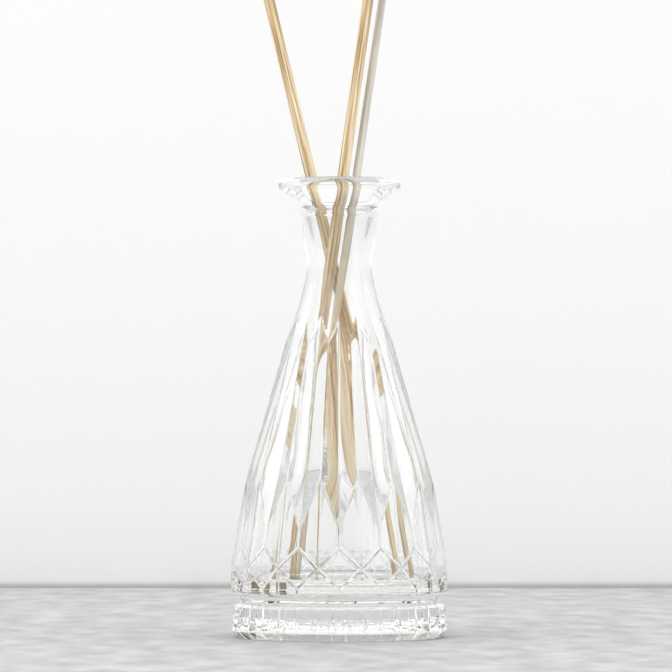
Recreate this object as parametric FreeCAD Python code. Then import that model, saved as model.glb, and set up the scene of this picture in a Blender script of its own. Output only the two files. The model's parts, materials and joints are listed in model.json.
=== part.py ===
import FreeCAD, Part
import math
import os

# Reed diffuser: a pressed-glass bottle with a cut pattern, its fragrance oil, and loose rattan reeds.
# Millimetres, +Z up. The origin is the centre of the bottle's flat underside, and the front faces -Y.

# ---------------------------------------------------------------- driving dimensions
SIDES = 16                        # vertical panels around the body
HALF_STEP = math.pi / SIDES       # from a panel's centre line to the ridge beside it

RIM_TOP = 153.0                   # height of the whole bottle
RIM_RADIUS = 20.4
RIM_WIDEST = 150.8                # height at which the rim is widest
RIM_FLAT_RADIUS = 16.7            # outer edge of the rim's flat top
RIM_UNDERSIDE = 145.2
COLLAR_RADIUS = 12.8
BEAD_RADIUS = 13.1                # small bead that rings the neck under the rim
BEAD_TOP = 142.3
BEAD_BOTTOM = 140.0
NECK_TOP_RADIUS = 12.6
WAIST_RADIUS = 10.75              # narrowest point of the neck
WAIST_HEIGHT = 124.0

CUT_TOP = 110.0                   # above this height the cut pattern no longer touches the glass
CUT_TOP_RIDGE_RADIUS = 14.75
CUT_TOP_VALLEY_RADIUS = 13.75
SHOULDER = 99.0                   # below the shoulder, ridges and valleys are straight lines
SHOULDER_RIDGE_RADIUS = 18.05
SHOULDER_VALLEY_RADIUS = 17.0     # the V-grooves start shallow here and get deeper going down
GROOVE_CORNER = 53.4              # where a groove's two sides start to close
CORNER_RIDGE_RADIUS = 31.44
CORNER_VALLEY_RADIUS = 28.1
GROOVE_TIP = 37.0                 # point at a groove's lower end, where it runs out of the surface
GROOVE_TIP_RADIUS = 33.67
DIAMOND_TOP = 30.6
DIAMOND_TOP_RADIUS = 35.2
DIAMOND_MIDDLE = 23.8
DIAMOND_CORNER_RADIUS = 36.66     # widest point of the body, across its ridges
DIAMOND_BOTTOM = 17.0
DIAMOND_BOTTOM_RADIUS = 35.8
BODY_BOTTOM = 15.2
BODY_BOTTOM_RADIUS = 35.75        # measured across the panels' centres

FOOT_SIDES = 32                   # flat faces around the foot
FOOT_TOP = 11.2
FOOT_TOP_RADIUS = 34.2
FOOT_EDGE = 10.4                  # the foot's chamfered upper edge ends here
FOOT_EDGE_RADIUS = 35.3
FOOT_CHAMFER = 2.4
FOOT_RADIUS = 36.2
FOOT_BOTTOM_RADIUS = 33.6
STEM_RADIUS = 33.3                # round groove between the body and the foot

MOUTH_RADIUS = 13.4
THROAT_RADIUS = 7.8               # narrowest point of the opening
CAVITY_SHOULDER_RADIUS = 13.4     # the cavity is a straight cone from the shoulder to the knee
CAVITY_KNEE = 54.0
CAVITY_KNEE_RADIUS = 26.4
CAVITY_RADIUS = 31.4              # widest point of the cavity
CAVITY_WIDEST = 25.0
CAVITY_FLOOR = 14.0
CAVITY_FLOOR_RADIUS = 30.9        # of the wall where the floor's rounded corner begins
CAVITY_CORNER = 4.0               # radius between wall and floor
OIL_LEVEL = 19.5

REED_LENGTH = 250.0
REED_CHAMFER = 0.25
REED_CLEARANCE = 0.3              # gap that reeds keep to the glass and the oil
CROSSING = 124.0                  # height at which each reed's place in the neck is given
REEDS = {
    # name: (radius, x and y at the crossing height, change of x and of y per mm of height)
    "reed_left": (2.0, -2.22, 1.7, -0.2406, -0.06),
    "reed_right": (2.0, -2.8, -3.0, 0.140, -0.17),
    "reed_back": (1.4, 1.42, -3.0, 0.146, -0.10),
}


# ---------------------------------------------------------------- helpers
def around(radius, angle, height):
    """A point at this angle from the front (-Y), turning towards +X."""
    return FreeCAD.Vector(radius * math.sin(angle), -radius * math.cos(angle), height)


def profile_point(radius, height):
    """A point of an outline that is turned about the Z axis."""
    return FreeCAD.Vector(radius, 0, height)


def line(start, end):
    return Part.makeLine(profile_point(*start), profile_point(*end))


def arc(start, middle, end):
    points = [profile_point(*point) for point in (start, middle, end)]
    return Part.Arc(*points).toShape()


def curve(points, start_slope=None, end_slope=None):
    """A smooth curve through the points; each slope is a (radius, height) direction."""
    spline = Part.BSplineCurve()
    places = [profile_point(*point) for point in points]
    if start_slope and end_slope:
        tangents = {"InitialTangent": profile_point(*start_slope), "FinalTangent": profile_point(*end_slope)}
        spline.interpolate(Points=places, **tangents)
    else:
        spline.interpolate(Points=places)
    return spline.toShape()


def turned(edges):
    """The solid of revolution of a closed outline."""
    face = Part.Face(Part.Wire(edges))
    return face.revolve(FreeCAD.Vector(0, 0, 0), FreeCAD.Vector(0, 0, 1), 360)


def flat_face(points):
    return Part.Face(Part.makePolygon(list(points) + [points[0]]))


def twisted_face(start, end, other_start, other_end):
    """The ruled face between two straight edges."""
    return Part.makeRuledSurface(Part.makeLine(start, end), Part.makeLine(other_start, other_end))


def prism_stack(sides, rings):
    """A solid with this many flat sides, through rings of (corner radius, height), bottom ring first.

    One corner faces the front.
    """
    step = 2 * math.pi / sides
    loops = []
    for radius, height in rings:
        loops.append([around(radius, step * index, height) for index in range(sides)])
    faces = [flat_face(loops[0]), flat_face(loops[-1])]
    for lower, upper in zip(loops, loops[1:]):
        for index in range(sides):
            after = (index + 1) % sides
            faces.append(flat_face([lower[index], lower[after], upper[after], upper[index]]))
    return Part.Solid(Part.Shell(faces))


# ---------------------------------------------------------------- glass bottle
def outer_outline():
    """The bottle's round form from shoulder to rim, with room for the cut body below the shoulder."""
    outside = 45.0                # wider than the cut body
    wide_from = 70.0              # below this height the outline is wider than the cut body all the way
    neck = [
        (NECK_TOP_RADIUS, BEAD_BOTTOM), (12.0, 132.3), (WAIST_RADIUS, WAIST_HEIGHT), (12.0, 116.0),
        (13.8, 109.8), (15.4, 105.3), (17.1, 101.0), (18.8, 96.6), (20.6, 91.2),
    ]
    return [
        line((0, RIM_TOP), (RIM_FLAT_RADIUS, RIM_TOP)),
        arc((RIM_FLAT_RADIUS, RIM_TOP), (18.85, 152.41), (RIM_RADIUS, RIM_WIDEST)),
        curve([(RIM_RADIUS, RIM_WIDEST), (18.6, 148.4), (14.2, RIM_UNDERSIDE), (COLLAR_RADIUS, 143.6)]),
        line((COLLAR_RADIUS, 143.6), (COLLAR_RADIUS, BEAD_TOP)),
        line((COLLAR_RADIUS, BEAD_TOP), (BEAD_RADIUS, BEAD_TOP - 0.4)),
        line((BEAD_RADIUS, BEAD_TOP - 0.4), (BEAD_RADIUS, BEAD_BOTTOM + 0.4)),
        line((BEAD_RADIUS, BEAD_BOTTOM + 0.4), neck[0]),
        curve(neck),
        line(neck[-1], (outside, wide_from)),
        line((outside, wide_from), (outside, BODY_BOTTOM)),
        line((outside, BODY_BOTTOM), (0, BODY_BOTTOM)),
        line((0, BODY_BOTTOM), (0, RIM_TOP)),
    ]


def panel_side(centre, side):
    """The faces of half a panel: its groove flank, half kite, half diamond and the piece below."""
    ridge = centre + side * HALF_STEP
    above_rim = RIM_TOP + 5.0
    wide_open = 30.0              # clear of the rim
    flare_ridge = around(wide_open, ridge, above_rim)
    flare_valley = around(wide_open * CUT_TOP_VALLEY_RADIUS / CUT_TOP_RIDGE_RADIUS, centre, above_rim)
    top_ridge = around(CUT_TOP_RIDGE_RADIUS, ridge, CUT_TOP)
    top_valley = around(CUT_TOP_VALLEY_RADIUS, centre, CUT_TOP)
    shoulder_ridge = around(SHOULDER_RIDGE_RADIUS, ridge, SHOULDER)
    shoulder_valley = around(SHOULDER_VALLEY_RADIUS, centre, SHOULDER)
    corner = around(CORNER_RIDGE_RADIUS, ridge, GROOVE_CORNER)
    corner_valley = around(CORNER_VALLEY_RADIUS, centre, GROOVE_CORNER)
    tip = around(GROOVE_TIP_RADIUS, centre, GROOVE_TIP)
    diamond_top = around(DIAMOND_TOP_RADIUS, centre, DIAMOND_TOP)
    diamond_side = around(DIAMOND_CORNER_RADIUS, ridge, DIAMOND_MIDDLE)
    diamond_middle = around(DIAMOND_CORNER_RADIUS * math.cos(HALF_STEP), centre, DIAMOND_MIDDLE)
    diamond_bottom = around(DIAMOND_BOTTOM_RADIUS, centre, DIAMOND_BOTTOM)
    edge_centre = around(BODY_BOTTOM_RADIUS, centre, BODY_BOTTOM)
    edge_ridge = around(BODY_BOTTOM_RADIUS / math.cos(HALF_STEP), ridge, BODY_BOTTOM)
    top_centre = FreeCAD.Vector(0, 0, above_rim)
    bottom_centre = FreeCAD.Vector(0, 0, BODY_BOTTOM)
    outlines = [
        [top_centre, flare_valley, flare_ridge],
        [flare_valley, flare_ridge, top_ridge, top_valley],
        [corner_valley, corner, tip],
        [tip, corner, diamond_side],
        [tip, diamond_side, diamond_top],
        [diamond_top, diamond_side, diamond_middle],
        [diamond_middle, diamond_side, diamond_bottom],
        [diamond_bottom, diamond_side, edge_ridge],
        [diamond_bottom, edge_ridge, edge_centre],
        [edge_centre, edge_ridge, bottom_centre],
    ]
    # A flank twists a little, because its valley line and its ridge line aren't in one plane.
    flanks = [
        twisted_face(top_valley, shoulder_valley, top_ridge, shoulder_ridge),
        twisted_face(shoulder_valley, corner_valley, shoulder_ridge, corner),
    ]
    return [flat_face(outline) for outline in outlines] + flanks


def cut_pattern():
    """Everything that the cutting leaves: grooves, kites and diamonds, repeated around the body."""
    faces = []
    for panel in range(SIDES):
        centre = 2 * HALF_STEP * panel
        faces += panel_side(centre, -1)
        faces += panel_side(centre, 1)
    return Part.Solid(Part.Shell(faces))


def foot():
    """The ring of flat blocks that the bottle stands on, and the round stem above it."""
    ring = prism_stack(FOOT_SIDES, [
        (FOOT_BOTTOM_RADIUS, 0), (FOOT_RADIUS, FOOT_CHAMFER),
        (FOOT_EDGE_RADIUS, FOOT_EDGE), (FOOT_TOP_RADIUS, FOOT_TOP),
    ])
    stem = Part.makeCylinder(STEM_RADIUS, BODY_BOTTOM - FOOT_EDGE, FreeCAD.Vector(0, 0, FOOT_EDGE))
    return ring.fuse(stem)


def cavity():
    """The hollow: a funnel mouth, a narrow throat and a body that widens to a round-cornered floor."""
    above = RIM_TOP + 2.0
    shoulder = (CAVITY_SHOULDER_RADIUS, SHOULDER)
    knee = (CAVITY_KNEE_RADIUS, CAVITY_KNEE)
    cone_slope = (knee[0] - shoulder[0], knee[1] - shoulder[1])
    mouth_slope = (-0.1, -1)
    wall_slope = (-0.1, -1)
    wall_foot = (CAVITY_FLOOR_RADIUS, CAVITY_FLOOR + CAVITY_CORNER)
    inset = CAVITY_CORNER * (1 - math.sqrt(0.5))
    corner_middle = (CAVITY_FLOOR_RADIUS - inset, CAVITY_FLOOR + inset)
    floor_edge = (CAVITY_FLOOR_RADIUS - CAVITY_CORNER, CAVITY_FLOOR)
    throat = [
        (MOUTH_RADIUS, RIM_TOP), (11.3, 146.0), (9.3, 137.0), (THROAT_RADIUS, WAIST_HEIGHT), (9.2, 112.5), shoulder,
    ]
    return turned([
        line((0, above), (MOUTH_RADIUS, above)),
        line((MOUTH_RADIUS, above), (MOUTH_RADIUS, RIM_TOP)),
        curve(throat, mouth_slope, cone_slope),
        line(shoulder, knee),
        curve([knee, (29.0, 39.5), (CAVITY_RADIUS, CAVITY_WIDEST), wall_foot], cone_slope, wall_slope),
        arc(wall_foot, corner_middle, floor_edge),
        line(floor_edge, (0, CAVITY_FLOOR)),
        line((0, CAVITY_FLOOR), (0, above)),
    ])


def glass_bottle(hollow):
    body = turned(outer_outline()).common(cut_pattern())
    return body.fuse(foot()).cut(hollow).removeSplitter()


# ---------------------------------------------------------------- oil and reeds
def reed_direction(name):
    radius, x, y, x_slope, y_slope = REEDS[name]
    return FreeCAD.Vector(x_slope, y_slope, 1).normalize()


def reed_foot(name):
    """The centre of the reed's lower end, which stands just clear of the cavity's floor."""
    radius, x, y, x_slope, y_slope = REEDS[name]
    tilt = math.hypot(x_slope, y_slope)
    height = CAVITY_FLOOR + REED_CLEARANCE + radius * tilt
    drop = CROSSING - height
    return FreeCAD.Vector(x - x_slope * drop, y - y_slope * drop, height)


def reed(name):
    radius = REEDS[name][0]
    stick = Part.makeCylinder(radius, REED_LENGTH, reed_foot(name), reed_direction(name))
    end_edges = [edge for edge in stick.Edges if isinstance(edge.Curve, Part.Circle)]
    return stick.makeChamfer(REED_CHAMFER, end_edges)


def fragrance_oil(hollow):
    """The oil left in the bottle: the bottom of the cavity, less the channels that hold the reeds."""
    level_box = Part.makeBox(100, 100, OIL_LEVEL, FreeCAD.Vector(-50, -50, 0))
    oil = hollow.common(level_box)
    for name in REEDS:
        radius = REEDS[name][0] + REED_CLEARANCE
        below_floor = reed_foot(name) - reed_direction(name) * 10.0
        oil = oil.cut(Part.makeCylinder(radius, REED_LENGTH, below_floor, reed_direction(name)))
    return oil


def main():
    os.makedirs("parts", exist_ok=True)
    hollow = cavity()
    shapes = {"glass_bottle": glass_bottle(hollow), "fragrance_oil": fragrance_oil(hollow)}
    for name in REEDS:
        shapes[name] = reed(name)
    for name, shape in shapes.items():
        solid = shape.Solids[0]
        print(name, "solids", len(shape.Solids), "valid", solid.isValid(), "ml", round(solid.Volume / 1000, 2))
        solid.exportStep("parts/" + name + ".step")


main()
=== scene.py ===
"""Looks of the reed diffuser: a clear pressed-glass bottle, a little oil and fibrous rattan reeds."""
import json
import math

import bmesh
import bpy
from mathutils import Matrix, Vector, noise


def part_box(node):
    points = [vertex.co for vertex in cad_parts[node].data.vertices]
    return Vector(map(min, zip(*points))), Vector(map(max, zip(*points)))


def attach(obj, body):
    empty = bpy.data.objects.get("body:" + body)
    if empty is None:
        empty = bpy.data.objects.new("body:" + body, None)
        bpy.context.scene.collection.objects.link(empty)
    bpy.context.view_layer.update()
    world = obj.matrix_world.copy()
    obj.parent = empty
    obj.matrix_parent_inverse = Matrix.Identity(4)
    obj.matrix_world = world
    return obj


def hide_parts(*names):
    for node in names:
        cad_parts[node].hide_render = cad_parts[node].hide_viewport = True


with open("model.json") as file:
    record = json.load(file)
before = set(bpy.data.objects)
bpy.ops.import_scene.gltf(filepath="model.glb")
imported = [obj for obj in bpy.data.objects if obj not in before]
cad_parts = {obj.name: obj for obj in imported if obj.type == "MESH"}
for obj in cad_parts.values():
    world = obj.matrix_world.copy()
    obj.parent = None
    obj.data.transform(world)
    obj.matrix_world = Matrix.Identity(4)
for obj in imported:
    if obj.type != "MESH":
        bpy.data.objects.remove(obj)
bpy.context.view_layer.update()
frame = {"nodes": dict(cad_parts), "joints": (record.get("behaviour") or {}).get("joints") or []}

MM = 0.001               # lengths below are in millimetres and meshes in metres

# The bottle's sizes, the same as the CAD model's. Outline points are (radius, height).
SIDES = 16                               # grooved panels around the body
HALF_STEP = math.pi / SIDES              # from a groove's valley line to the ridge beside it
VALLEY_LAND = 0.06                       # a narrow flat strip runs down each valley line and each ridge,
RIDGE_LAND = 0.94                        # given as a share of the way from valley to ridge
COLUMNS = [0.0, VALLEY_LAND, 0.16, 0.3, 0.44, 0.58, 0.72, 0.84, RIDGE_LAND, 1.0]
LIP = [(13.4, 152.2), (13.65, 152.75), (14.3, 153.0), (16.7, 153.0), (18.5, 152.6), (19.75, 151.7),
       (20.4, 150.8), (20.0, 149.6), (18.6, 148.4), (16.3, 146.8), (14.2, 145.3), (13.1, 144.2), (12.8, 143.5)]
BEAD = [(12.8, 142.5), (12.95, 142.25), (13.1, 141.8), (13.1, 140.6), (12.95, 140.2), (12.6, 140.0)]
NECK = [(12.6, 140.0), (12.0, 132.3), (10.75, 124.0), (12.0, 116.0), (13.8, 109.8), (15.4, 105.3),
        (17.1, 101.0), (18.8, 96.6), (20.6, 91.2), (23.5, 84.0), (32.0, 65.0), (42.0, 50.0)]
RIDGE = [(30.0, 158.0), (14.75, 110.0), (18.05, 99.0), (31.44, 53.4)]
VALLEY = [(27.97, 158.0), (13.75, 110.0), (17.0, 99.0), (28.1, 53.4)]
GROOVE_TIP = (33.67, 37.0)               # each groove runs out to a point, flush with the flat kites
FLANK_BULGE = 0.009                      # how far a groove's sides curve outwards, over the ridge radius
SHOULDER_BLEND = 0.10                    # softness of the grooves' arched tops
DIAMOND_TOP = (35.2, 30.6)
DIAMOND_CORNER = (36.66, 23.8)
DIAMOND_BOTTOM = (35.8, 17.0)
BODY_BOTTOM = (35.75, 15.2)
LINE_WIDTH = 0.5                         # half width of the V-shaped lines around the diamonds
LINE_DEPTH = 0.3
STEM_RADIUS = 33.3
FOOT_SIDES = 32
FOOT = [(34.2, 11.2), (35.3, 10.4), (36.2, 2.4), (33.6, 0.0)]
FOOT_NOTCH = 0.45
UNDERSIDE = [(30.5, 0.0), (29.8, 0.4)]   # a shallow hollow keeps the middle off the table
CAVITY = [(13.4, 152.2), (12.6, 150.0), (11.3, 146.0), (9.3, 137.0), (7.8, 124.0), (9.2, 112.5),
          (13.4, 99.0), (17.7, 84.0), (22.1, 69.0), (26.4, 54.0), (29.0, 39.5), (31.4, 25.0), (30.9, 18.0)]
CAVITY_CORNER = 4.0
CAVITY_FLOOR = 14.0
WALL_WOBBLE = 0.12                       # pressed glass is never quite even inside
EDGE_ROUNDING = 0.12
OIL_LEVEL = 19.5
OILY_AND_BRIGHTENED_BELOW = -0.045                    # along a reed from its middle, in metres
DRY_ABOVE = 0.025
REED_CHAMFER = 0.25
OIL_OVERLAP = 0.08                       # the oil's mesh reaches this far into the glass, so no air shows


# ---------------------------------------------------------------- outlines
def smooth_line(points, steps):
    """Points along a smooth curve (Catmull-Rom) through the given points."""
    padded = [points[0]] + list(points) + [points[-1]]
    result = []
    for before, start, end, after in zip(padded, padded[1:], padded[2:], padded[3:]):
        for step in range(steps):
            t = step / steps
            result.append(tuple(
                0.5 * (2 * s + (e - b) * t + (2 * b - 5 * s + 4 * e - a) * t ** 2 + (3 * s - b - 3 * e + a) * t ** 3)
                for b, s, e, a in zip(before, start, end, after)))
    result.append(points[-1])
    return result


def radius_at(outline, height):
    """Radius of a falling outline at a height, by straight interpolation."""
    for (upper_radius, upper), (lower_radius, lower) in zip(outline, outline[1:]):
        if lower <= height <= upper:
            share = (upper - height) / (upper - lower)
            return upper_radius + (lower_radius - upper_radius) * share
    raise ValueError("height is off the outline")


def falling(start, end, spacing):
    """Evenly spaced heights from start down to end, end left out."""
    count = max(1, round((start - end) / spacing))
    return [start + (end - start) * index / count for index in range(count)]


def soft_least(first, second, softness):
    """The smaller of two numbers, with a rounded change-over."""
    share = min(1.0, max(0.0, 0.5 + 0.5 * (second - first) / softness))
    return second + (first - second) * share - softness * share * (1 - share)


# ---------------------------------------------------------------- glass bottle
def around(radius, angle, height):
    """A point at this angle from the front (-Y), turning towards +X, in metres."""
    return Vector((radius * math.sin(angle), -radius * math.cos(angle), height)) * MM


def flank_radius(angle, height):
    """Radius on a groove's side, at this angle from its valley line: a cut that bulges a little between lands."""
    ridge, valley = radius_at(RIDGE, height), radius_at(VALLEY, height)
    rise = ridge * math.cos(HALF_STEP) - valley

    def cut_radius(turn):
        share = valley * math.tan(turn) / (ridge * math.sin(HALF_STEP) - rise * math.tan(turn))
        straight = (valley + share * rise) / math.cos(turn)
        return straight + FLANK_BULGE * ridge * 4 * share * (1 - share)

    low, high = HALF_STEP * VALLEY_LAND, HALF_STEP * RIDGE_LAND
    if angle < low:
        return cut_radius(low) * math.cos(low) / math.cos(angle)
    if angle > high:
        return cut_radius(high) * math.cos(HALF_STEP - high) / math.cos(HALF_STEP - angle)
    return cut_radius(angle)


NECK_LINE = smooth_line(NECK, 8)


def body_radius(angle, height):
    """The outside of neck, shoulder and grooves: the cut is soft where it meets the round form."""
    return soft_least(flank_radius(abs(angle), height), radius_at(NECK_LINE, height), SHOULDER_BLEND)


def cavity_wobble(angle, height):
    """Unevenness of the inner wall, in long soft waves."""
    place = Vector((math.sin(angle) * 2.1, math.cos(angle) * 2.1, height * 0.055))
    fade = min(1.0, max(0.0, (118.0 - height) / 12.0))
    return WALL_WOBBLE * fade * noise.noise(place)


def cavity_outline():
    """From the lip down the wall, round the floor's corner and in towards the axis."""
    wall = smooth_line(CAVITY, 5)
    centre = (CAVITY[-1][0] - CAVITY_CORNER, CAVITY_FLOOR + CAVITY_CORNER)
    corner = []
    for step in range(1, 7):
        turn = math.pi / 2 * step / 6
        corner.append((centre[0] + CAVITY_CORNER * math.cos(turn), centre[1] - CAVITY_CORNER * math.sin(turn)))
    floor = [(19.0, CAVITY_FLOOR), (11.0, CAVITY_FLOOR), (4.0, CAVITY_FLOOR)]
    return wall + corner + floor


class Lathe:
    """Builds rings of vertices around the bottle's axis and joins them with faces."""

    def __init__(self):
        self.mesh = bmesh.new()

    def ring(self, radius_of, height):
        """A full ring; radius_of(angle from the panel's centre, height, angle from the front)."""
        vertices = []
        for panel in range(SIDES):
            centre = 2 * HALF_STEP * panel
            for share in [-share for share in COLUMNS[:0:-1]] + COLUMNS[:-1]:
                local = HALF_STEP * share
                radius = radius_of(local, height, centre + local)
                vertices.append(self.mesh.verts.new(around(radius, centre + local, height)))
        return vertices

    def round_ring(self, radius, height):
        return self.ring(lambda local, level, turn: radius, height)

    def join(self, first, second):
        count = len(first)
        for index in range(count):
            after = (index + 1) % count
            self.mesh.faces.new([first[index], first[after], second[after], second[index]])

    def join_all(self, rings):
        for first, second in zip(rings, rings[1:]):
            self.join(first, second)

    def points(self, angle_radius_pairs, height):
        """A ring with a few points in each panel, given as (angle from the panel's centre, radius)."""
        vertices = []
        for panel in range(SIDES):
            centre = 2 * HALF_STEP * panel
            for angle, radius in angle_radius_pairs:
                vertices.append(self.mesh.verts.new(around(radius, centre + angle, height)))
        return vertices


def upper_rings(lathe):
    """Lip, bead, neck, shoulder and grooves, from the mouth down to the grooves' corners."""
    rings = [lathe.round_ring(*point) for point in smooth_line(LIP, 3)]
    rings += [lathe.round_ring(*point) for point in BEAD[:-1]]
    heights = falling(BEAD[-1][1], 112.0, 2.0) + falling(112.0, 94.0, 0.6)
    heights += falling(94.0, RIDGE[-1][1], 4.0) + [RIDGE[-1][1]]
    rings += [lathe.ring(lambda local, level, turn: body_radius(local, level), height) for height in heights]
    return rings


def lower_facets(lathe, corner_ring):
    """The grooves' pointed ends, the kites between them, the diamonds and the pieces below."""
    add = lathe.mesh.verts.new
    tip_radius, tip_height = GROOVE_TIP
    ridge_scale = 1 / math.cos(HALF_STEP)
    flat_radius = DIAMOND_CORNER[0] / ridge_scale
    sunk = LINE_DEPTH                    # the lines' bottoms; the facets between them stand out
    tips, tops, middles, bottoms, edges, sides, edge_ridges = [], [], [], [], [], [], []
    for panel in range(SIDES):
        centre = 2 * HALF_STEP * panel
        ridge = centre + HALF_STEP
        tips.append(add(around(tip_radius, centre, tip_height)))
        tops.append(add(around(DIAMOND_TOP[0] - sunk, centre, DIAMOND_TOP[1])))
        middles.append(add(around(flat_radius - sunk, centre, DIAMOND_CORNER[1])))
        bottoms.append(add(around(DIAMOND_BOTTOM[0] - sunk, centre, DIAMOND_BOTTOM[1])))
        edges.append(add(around(BODY_BOTTOM[0] - sunk, centre, BODY_BOTTOM[1])))
        sides.append(add(around(DIAMOND_CORNER[0] - sunk, ridge, DIAMOND_CORNER[1])))
        edge_ridges.append(add(around((BODY_BOTTOM[0] - sunk) * ridge_scale, ridge, BODY_BOTTOM[1])))
    face = lathe.mesh.faces.new
    per_panel = 2 * (len(COLUMNS) - 1)
    regions = []
    for panel in range(SIDES):
        start = panel * per_panel
        row = [corner_ring[(start + column) % len(corner_ring)] for column in range(per_panel + 1)]
        for first, second in zip(row, row[1:]):
            face([first, second, tips[panel]])
        after = (panel + 1) % SIDES
        corner, side = row[-1], sides[panel]
        regions.append([face([corner, side, tips[panel]]), face([tips[panel], side, tops[panel]])])
        regions.append([face([corner, tips[after], side]), face([tips[after], tops[after], side])])
        left_side = sides[panel - 1]
        regions.append([
            face([tops[panel], side, middles[panel]]), face([middles[panel], side, bottoms[panel]]),
            face([tops[panel], middles[panel], left_side]), face([middles[panel], bottoms[panel], left_side]),
        ])
        below = edge_ridges[panel]
        regions.append([face([side, below, bottoms[panel]]), face([bottoms[panel], below, edges[panel]])])
        regions.append([face([side, bottoms[after], below]), face([bottoms[after], edges[after], below])])
    bmesh.ops.recalc_face_normals(lathe.mesh, faces=lathe.mesh.faces)
    for region in regions:
        bmesh.ops.inset_region(lathe.mesh, faces=region, thickness=LINE_WIDTH * MM, depth=LINE_DEPTH * MM,
                               use_even_offset=True, use_boundary=True)
    rim = []
    for panel in range(SIDES):
        rim += [edges[panel], edge_ridges[panel]]
    return rim


def foot_rings(lathe, body_edge):
    """The round stem under the body, and the ring of flat blocks with a notch between each two."""
    block = 2 * math.pi / FOOT_SIDES
    half = block / 2
    inner = 0.86 * half                  # where a block's flat face ends and its notch begins

    def blocks(radius, height, notch):
        flat = radius * math.cos(half)
        at_edge = flat / math.cos(inner)
        pairs = [(-half - inner, at_edge), (-half + inner, at_edge), (0.0, radius - notch),
                 (half - inner, at_edge), (half + inner, at_edge), (2 * half, radius - notch)]
        return lathe.points(pairs, height)

    def evenly(radius, height):
        return lathe.points([(half * step, radius) for step in (-1.86, -0.14, 0.0, 0.14, 1.86, 2.0)], height)

    stem_top = lathe.points([(0.0, STEM_RADIUS), (HALF_STEP, STEM_RADIUS)], BODY_BOTTOM[1] - 0.7)
    stem = evenly(STEM_RADIUS, FOOT[0][1] + 0.9)
    lathe.join(body_edge, stem_top)
    for panel in range(SIDES):
        middle, ridge, before = stem_top[2 * panel], stem_top[2 * panel + 1], stem_top[2 * panel - 1]
        six = stem[6 * panel: 6 * panel + 6]
        last = stem[6 * panel - 1]
        face = lathe.mesh.faces.new
        face([before, middle, six[1], six[0], last])
        face([middle, six[2], six[1]])
        face([middle, six[3], six[2]])
        face([middle, ridge, six[5], six[4], six[3]])
    rings = [stem, evenly(STEM_RADIUS, FOOT[0][1])]
    rings += [blocks(FOOT[0][0], FOOT[0][1], FOOT_NOTCH * 0.5), blocks(FOOT[1][0], FOOT[1][1], FOOT_NOTCH)]
    rings += [blocks(FOOT[2][0], FOOT[2][1], FOOT_NOTCH), blocks(FOOT[3][0], FOOT[3][1], FOOT_NOTCH * 0.5)]
    rings += [evenly(*point) for point in UNDERSIDE]
    lathe.join_all(rings)
    lathe.mesh.faces.new(rings[-1])


def cavity_rings(lathe, lip_ring):
    rings = [lip_ring]
    for radius, height in cavity_outline()[1:]:
        wobbly = height > CAVITY_FLOOR + 0.5
        shape = (lambda local, level, turn, base=radius: base + cavity_wobble(turn, level)) if wobbly else (
            lambda local, level, turn, base=radius: base)
        rings.append(lathe.ring(shape, height))
    lathe.join_all(rings)
    lathe.mesh.faces.new(rings[-1])


def mesh_object(name, mesh, smooth=True):
    bmesh.ops.recalc_face_normals(mesh, faces=mesh.faces)
    data = bpy.data.meshes.new(name)
    mesh.to_mesh(data)
    mesh.free()
    data.polygons.foreach_set("use_smooth", [smooth] * len(data.polygons))
    piece = bpy.data.objects.new(name, data)
    bpy.context.scene.collection.objects.link(piece)
    return piece


def round_edges(piece, width, limit_degrees):
    bevel = piece.modifiers.new("rounding", "BEVEL")
    bevel.width = width * MM
    bevel.segments = 2
    bevel.limit_method = "ANGLE"
    bevel.angle_limit = math.radians(limit_degrees)
    bevel.miter_outer = "MITER_SHARP"
    weighted = piece.modifiers.new("flat faces", "WEIGHTED_NORMAL")
    weighted.weight = 80


def glass_bottle():
    lathe = Lathe()
    rings = upper_rings(lathe)
    lathe.join_all(rings)
    body_edge = lower_facets(lathe, rings[-1])
    foot_rings(lathe, body_edge)
    cavity_rings(lathe, rings[0])
    bottle = mesh_object("bottle_glass", lathe.mesh)
    round_edges(bottle, EDGE_ROUNDING, 13.0)
    bottle.data.materials.append(glass_material())
    return bottle


# ---------------------------------------------------------------- oil
def fragrance_oil():
    """The liquid: the cavity's shape up to its level, climbing a little where it wets the wall."""
    lathe = Lathe()
    wall = [point for point in cavity_outline() if point[1] < OIL_LEVEL - 0.3]
    level_radius = radius_at(cavity_outline(), OIL_LEVEL)
    meniscus = [(3.0, 0.0), (1.6, 0.06), (0.8, 0.22), (0.3, 0.5), (0.0, 0.9)]
    rings = []
    for inward, climb in meniscus:
        reach = OIL_OVERLAP if inward == 0.0 else 0.0
        shape = lambda local, level, turn, base=level_radius - inward + reach: base + cavity_wobble(turn, OIL_LEVEL)
        rings.append(lathe.ring(shape, OIL_LEVEL + climb))
    top_ring = rings[0]
    for radius, height in wall:
        sink = OIL_OVERLAP if height < CAVITY_FLOOR + CAVITY_CORNER else 0.0
        shape = lambda local, level, turn, base=radius + OIL_OVERLAP: base + cavity_wobble(turn, level + sink)
        rings.append(lathe.ring(shape, height - sink))
    lathe.join_all(rings)
    lathe.mesh.faces.new(top_ring)
    lathe.mesh.faces.new(rings[-1])
    oil = mesh_object("oil_fill", lathe.mesh)
    oil.data.materials.append(oil_material())
    return oil


# ---------------------------------------------------------------- reeds
def reed_measures(node):
    """Centre, direction, length and radius of a reed, read from its CAD solid."""
    joint = next(joint for joint in frame["joints"] if joint["child"] == node)
    direction = Vector(joint["axis"]).normalized()
    places = [vertex.co.copy() for vertex in frame["nodes"][node].data.vertices]
    low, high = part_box(node)
    centre = (low + high) / 2
    along = [(place - centre).dot(direction) for place in places]
    across = [((place - centre) - direction * reach).length for place, reach in zip(places, along)]
    return centre, direction, max(along) - min(along), max(across)


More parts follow.
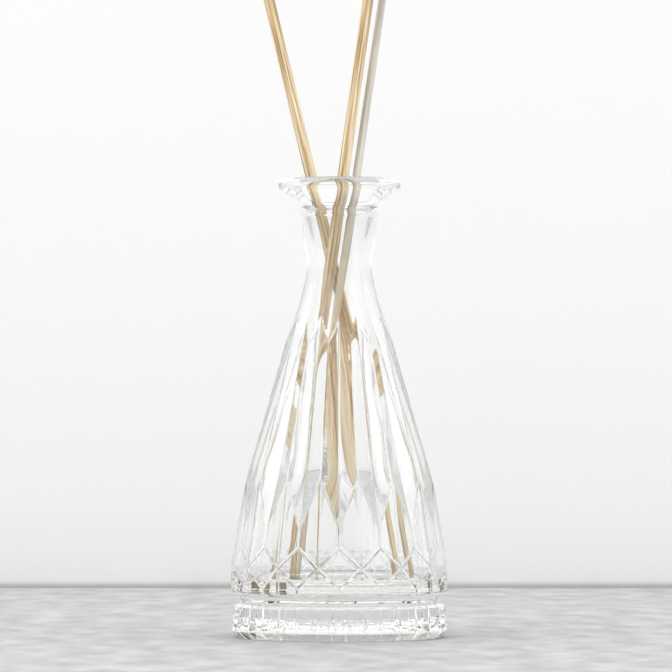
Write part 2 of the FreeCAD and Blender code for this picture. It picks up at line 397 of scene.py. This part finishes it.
def fibre_depth(angle, height, radius, seed):
    """How deep the surface lies under the reed's outline: long fibres side by side, never quite straight."""
    drift = 0.25 * noise.noise(Vector((0.0, seed, height * 25.0)))
    turned = angle + drift
    place = Vector((math.cos(turned) * 2.2, math.sin(turned) * 2.2, height * 14.0 + seed))
    coarse = 0.5 + 0.5 * noise.noise(place)
    fine = 0.5 + 0.5 * noise.noise(place * 3.1 + Vector((7.0, 0.0, 0.0)))
    return radius * (0.075 * coarse + 0.045 * fine)


def reed(node, seed):
    """A rattan stick: fibrous along its length, cut square and porous at both ends."""
    centre, direction, length, radius = reed_measures(node)
    columns, rows, cap_rings = 72, 170, 9
    worn = REED_CHAMFER * MM
    full = length / 2 - worn
    heights = [-length / 2] + [full * (2 * row / rows - 1) for row in range(rows + 1)] + [length / 2]
    mesh = bmesh.new()
    rings = []
    for height in heights:
        edge = radius - max(0.0, abs(height) - full)
        ring = []
        for column in range(columns):
            angle = 2 * math.pi * column / columns
            reach = edge - fibre_depth(angle, height, radius, seed)
            ring.append(mesh.verts.new((reach * math.cos(angle), reach * math.sin(angle), height)))
        rings.append(ring)
    for lower, upper in zip(rings, rings[1:]):
        for column in range(columns):
            after = (column + 1) % columns
            mesh.faces.new([lower[column], lower[after], upper[after], upper[column]])
    for ring, outward in ((rings[0], -1), (rings[-1], 1)):
        cap(mesh, ring, outward, radius, cap_rings, seed)
    stick = mesh_object(node + "_stick", mesh)
    stick.rotation_mode = "QUATERNION"
    stick.rotation_quaternion = standing_along(direction)
    stick.location = centre
    return stick


def standing_along(direction):
    """The turn that lays local Z along a direction and keeps local Y square to the world's X."""
    side = direction.cross(Vector((1, 0, 0))).normalized()
    return Matrix((side.cross(direction), side, direction)).transposed().to_quaternion()


def cap(mesh, ring, outward, radius, cap_rings, seed):
    """A cut end with open pores, sunk a little into the stick."""
    pore_size = 0.16 * radius
    outer = ring
    edge_height = ring[0].co.z
    for step in range(1, cap_rings):
        share = 1 - step / cap_rings
        inner = []
        for vertex in ring:
            x, y = vertex.co.x * share, vertex.co.y * share
            distances, cells = noise.voronoi(Vector((x / pore_size, y / pore_size, seed)))
            sunk = 0.12 * radius * max(0.0, 1.0 - distances[0] * 2.4)
            inner.append(mesh.verts.new((x, y, edge_height - outward * sunk)))
        count = len(ring)
        for index in range(count):
            after = (index + 1) % count
            mesh.faces.new([outer[index], outer[after], inner[after], inner[index]])
        outer = inner
    mesh.faces.new(outer)


# ---------------------------------------------------------------- materials
def new_material(name):
    """A node material: returns it with its tree and its Principled shader."""
    material = bpy.data.materials.new(name)
    material.use_nodes = True
    shader = material.node_tree.nodes["Principled BSDF"]
    return material, material.node_tree, shader


def noise_at(tree, scale, detail, stretch=(1, 1, 1)):
    """A noise texture in object space, stretched along the given axes."""
    place = tree.nodes.new("ShaderNodeTexCoord")
    mapping = tree.nodes.new("ShaderNodeMapping")
    mapping.inputs["Scale"].default_value = stretch
    texture = tree.nodes.new("ShaderNodeTexNoise")
    texture.inputs["Scale"].default_value = scale
    texture.inputs["Detail"].default_value = detail
    tree.links.new(place.outputs["Object"], mapping.inputs["Vector"])
    tree.links.new(mapping.outputs["Vector"], texture.inputs["Vector"])
    return texture.outputs["Fac"]


def ramp(tree, source, stops):
    """A colour ramp over a value; stops are (position, colour)."""
    node = tree.nodes.new("ShaderNodeValToRGB")
    elements = node.color_ramp.elements
    while len(elements) < len(stops):
        elements.new(0.5)
    for element, (position, colour) in zip(elements, stops):
        element.position = position
        element.color = (*colour, 1)
    tree.links.new(source, node.inputs["Fac"])
    return node.outputs["Color"]


def bump(tree, shader, source, strength, distance):
    node = tree.nodes.new("ShaderNodeBump")
    node.inputs["Strength"].default_value = strength
    node.inputs["Distance"].default_value = distance
    tree.links.new(source, node.inputs["Height"])
    tree.links.new(node.outputs["Normal"], shader.inputs["Normal"])
    return node


def glass_material():
    """Clear pressed glass: almost colourless, with a faint ripple left by the mould."""
    material, tree, shader = new_material("clear pressed glass")
    shader.inputs["IOR"].default_value = 1.52
    shader.inputs["Transmission Weight"].default_value = 1.0
    tint = ramp(tree, noise_at(tree, 40, 2), [(0.3, (0.985, 0.992, 0.988)), (0.7, (0.995, 0.998, 0.996))])
    tree.links.new(tint, shader.inputs["Base Color"])
    polish = ramp(tree, noise_at(tree, 90, 3), [(0.35, (0.0, 0.0, 0.0)), (0.8, (0.02, 0.02, 0.02))])
    tree.links.new(polish, shader.inputs["Roughness"])
    bump(tree, shader, noise_at(tree, 160, 2, (1, 1, 0.5)), 0.10, 0.4 * MM)
    return material


def oil_material():
    """Clear fragrance oil with a trace of yellow."""
    material, tree, shader = new_material("fragrance oil")
    shader.inputs["IOR"].default_value = 1.44
    shader.inputs["Transmission Weight"].default_value = 1.0
    shader.inputs["Roughness"].default_value = 0.0
    tint = ramp(tree, noise_at(tree, 30, 1), [(0.3, (0.995, 0.99, 0.965)), (0.7, (1.0, 0.996, 0.98))])
    tree.links.new(tint, shader.inputs["Base Color"])
    return material


def along_stick(tree):
    """0 where the stick stands in the bottle's body, has drawn up oil and is painted brighter, 1 on its dry upper
    part.
    """
    place = tree.nodes.new("ShaderNodeTexCoord")
    split = tree.nodes.new("ShaderNodeSeparateXYZ")
    share = tree.nodes.new("ShaderNodeMapRange")
    share.inputs["From Min"].default_value = OILY_AND_BRIGHTENED_BELOW
    share.inputs["From Max"].default_value = DRY_ABOVE
    tree.links.new(place.outputs["Object"], split.inputs["Vector"])
    tree.links.new(split.outputs["Z"], share.inputs["Value"])
    return share.outputs["Result"]


def rattan_material(name, dry, oily_and_painted_bright):
    """Rattan: light and dark fibres along the stick, deeper in colour where it has drawn up oil, and painted brighter
    there to stand in for light lost in the glass.
    """
    material, tree, shader = new_material(name)
    broad = noise_at(tree, 520, 2, (1, 1, 0.035))
    fine = noise_at(tree, 2600, 4, (1, 1, 0.02))
    mixed = tree.nodes.new("ShaderNodeMix")
    mixed.inputs["Factor"].default_value = 0.42
    tree.links.new(broad, mixed.inputs["A"])
    tree.links.new(fine, mixed.inputs["B"])
    colour = tree.nodes.new("ShaderNodeMix")
    colour.data_type = "RGBA"
    # the oily lower part is partly real colour and partly painted light: more saturated, and painted brighter than the
    # dry part
    tree.links.new(along_stick(tree), colour.inputs["Factor"])
    for tones, socket in ((oily_and_painted_bright, "A"), (dry, "B")):
        source = ramp(tree, mixed.outputs["Result"], list(zip((0.38, 0.48, 0.58), tones)))
        tree.links.new(source, next(entry for entry in colour.inputs if entry.name == socket and entry.type == "RGBA"))
    result = next(entry for entry in colour.outputs if entry.type == "RGBA")
    tree.links.new(result, shader.inputs["Base Color"])
    rough = ramp(tree, fine, [(0.3, (0.62, 0.62, 0.62)), (0.7, (0.82, 0.82, 0.82))])
    tree.links.new(rough, shader.inputs["Roughness"])
    shader.inputs["Specular IOR Level"].default_value = 0.3
    bump(tree, shader, fine, 0.5, 0.15 * MM)
    return material


# ---------------------------------------------------------------- floor, backdrop, light and camera
TABLE_DEPTH = 0.457                      # from the bottle's axis back to the wall
GLASS_BOUNCES = 40


def plane(name, corners):
    data = bpy.data.meshes.new(name)
    data.from_pydata(corners, [], [(0, 1, 2, 3)])
    piece = bpy.data.objects.new(name, data)
    bpy.context.scene.collection.objects.link(piece)
    return piece


def show_one_side(tree, shader):
    """Leaves a surface clear from behind, so that the wall doesn't hide the bottle's back."""
    geometry = tree.nodes.new("ShaderNodeNewGeometry")
    clear = tree.nodes.new("ShaderNodeBsdfTransparent")
    mixed = tree.nodes.new("ShaderNodeMixShader")
    tree.links.new(geometry.outputs["Backfacing"], mixed.inputs["Fac"])
    tree.links.new(shader.outputs["BSDF"], mixed.inputs[1])
    tree.links.new(clear.outputs["BSDF"], mixed.inputs[2])
    tree.links.new(mixed.outputs["Shader"], tree.nodes["Material Output"].inputs["Surface"])


def stage():
    floor = plane("floor", [(-3, -3, 0), (3, -3, 0), (3, TABLE_DEPTH, 0), (-3, TABLE_DEPTH, 0)])
    material, tree, shader = new_material("pale grey table")
    tone = ramp(tree, noise_at(tree, 80, 9, (1, 0.4, 1)), [(0.3, (0.39, 0.39, 0.39)), (0.7, (0.57, 0.57, 0.57))])
    tree.links.new(tone, shader.inputs["Base Color"])
    shader.inputs["Roughness"].default_value = 0.7
    floor.data.materials.append(material)
    wall = plane("backdrop", [(-4, TABLE_DEPTH, -1), (4, TABLE_DEPTH, -1), (4, TABLE_DEPTH, 4), (-4, TABLE_DEPTH, 4)])
    # the wall's colour carries painted shade, darker low down, and a painted shadow line at its foot
    material, tree, shader = new_material("white wall with painted shade")
    place = tree.nodes.new("ShaderNodeTexCoord")
    split = tree.nodes.new("ShaderNodeSeparateXYZ")
    tree.links.new(place.outputs["Object"], split.inputs["Vector"])
    height = tree.nodes.new("ShaderNodeMapRange")
    height.inputs["From Max"].default_value = 0.25
    tree.links.new(split.outputs["Z"], height.inputs["Value"])
    joint = [(0.0, 0.38), (0.004, 0.40)]     # painted shadow: the dark line where the wall meets the table
    # painted shade: the wall's grey darkens towards the floor
    painted_shade_greys = joint + [(0.012, 0.69), (0.05, 0.73), (0.16, 0.77), (0.5, 0.805), (0.9, 0.82)]
    tone = ramp(tree, height.outputs["Result"], [(position, (grey, grey, grey)) for position, grey in painted_shade_greys])
    tree.links.new(tone, shader.inputs["Base Color"])
    shader.inputs["Roughness"].default_value = 0.9
    show_one_side(tree, shader)
    wall.data.materials.append(material)


def softbox(name, place, size, watts, target=(0, 0, 0.08)):
    data = bpy.data.lights.new(name, "AREA")
    data.size = size
    data.energy = watts
    light = bpy.data.objects.new(name, data)
    bpy.context.scene.collection.objects.link(light)
    light.location = place
    light.rotation_mode = "QUATERNION"
    light.rotation_quaternion = (Vector(target) - Vector(place)).to_track_quat("-Z", "Y")


def lights():
    world = bpy.data.worlds.new("studio")
    world.use_nodes = True
    world.node_tree.nodes["Background"].inputs["Color"].default_value = (1, 1, 1, 1)
    world.node_tree.nodes["Background"].inputs["Strength"].default_value = 1.3
    bpy.context.scene.world = world
    softbox("key", (-1.3, -1.2, 1.5), 1.6, 12)
    softbox("fill", (1.5, -1.0, 1.0), 1.4, 5)


def camera():
    """Almost level with the middle of the bottle, from about 1.75 m away through a long lens."""
    distance, height, tilt = 1.757, 0.079, math.radians(0.696)
    data = bpy.data.cameras.new("camera")
    data.lens = 282.3
    data.sensor_width = 36
    data.clip_start = 0.05
    data.clip_end = 50
    view = bpy.data.objects.new("camera", data)
    bpy.context.scene.collection.objects.link(view)
    view.location = (-0.0011, -distance, height)
    view.rotation_euler = (math.pi / 2 + tilt, 0, 0)
    bpy.context.scene.camera = view


def light_paths():
    """Light crosses many glass surfaces here, and a path that is cut short leaves a false dark streak."""
    cycles = bpy.context.scene.cycles
    cycles.max_bounces = GLASS_BOUNCES
    cycles.transmission_bounces = GLASS_BOUNCES
    cycles.glossy_bounces = GLASS_BOUNCES


# ---------------------------------------------------------------- assembly
def main():
    bottle = glass_bottle()
    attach(bottle, "bottle")
    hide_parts("glass_bottle")

    oil = fragrance_oil()
    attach(oil, "bottle")
    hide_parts("fragrance_oil")

    # second tones: the oily lower part, more saturated and painted brighter, standing in for light lost in the glass
    tan = rattan_material("tan rattan",
                          ((0.28, 0.15, 0.06), (0.60, 0.44, 0.25), (0.92, 0.80, 0.57)),
                          ((0.42, 0.22, 0.07), (0.90, 0.66, 0.33), (0.99, 0.91, 0.62)))
    pale = rattan_material("pale rattan",
                           ((0.48, 0.45, 0.38), (0.62, 0.59, 0.51), (0.76, 0.73, 0.66)),
                           ((0.52, 0.35, 0.17), (0.84, 0.65, 0.38), (0.96, 0.84, 0.58)))
    looks = {"reed_left": ("tan_rattan", tan), "reed_right": ("tan_rattan", tan), "reed_back": ("pale_rattan", pale)}
    for seed, (node, (slot, material)) in enumerate(looks.items()):
        stick = reed(node, 11.0 * (seed + 1))
        stick.data.materials.append(material)
        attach(stick, node)
        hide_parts(node)

    stage()
    lights()
    camera()
    bpy.context.scene.view_settings.view_transform = "Standard"
    light_paths()


main()
